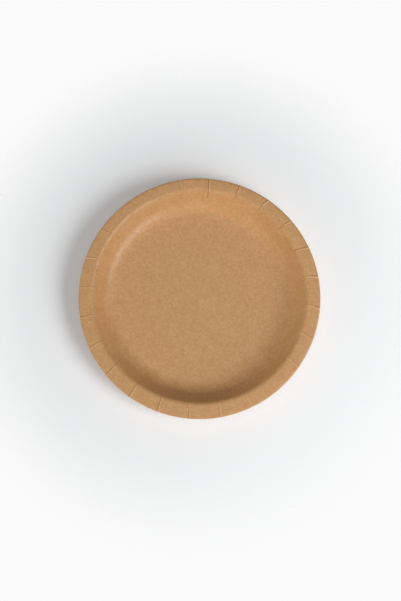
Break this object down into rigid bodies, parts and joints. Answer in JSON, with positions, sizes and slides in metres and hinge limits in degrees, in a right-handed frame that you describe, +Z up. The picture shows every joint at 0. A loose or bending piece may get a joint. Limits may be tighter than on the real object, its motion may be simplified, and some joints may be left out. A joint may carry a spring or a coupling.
{
  "type": "paper plate",
  "caption": "Round kraft paper plate pressed from one sheet of board, with a flat floor, a sloped wall and a wide rim with pressed pleats.",
  "frame": {"origin": "centre of the flat underside, on the table", "axes": "+Z up, along the axis of the plate; +X towards the first pleat's side, 10 degrees clockwise of it"},
  "size_m": [0.23, 0.23, 0.0204],
  "materials": {
    "kraft_board": "matt brown kraft paperboard, lightly calendered"
  },
  "bodies": {
    "root": {"plate": "kraft_board"}
  },
  "joints": []
}
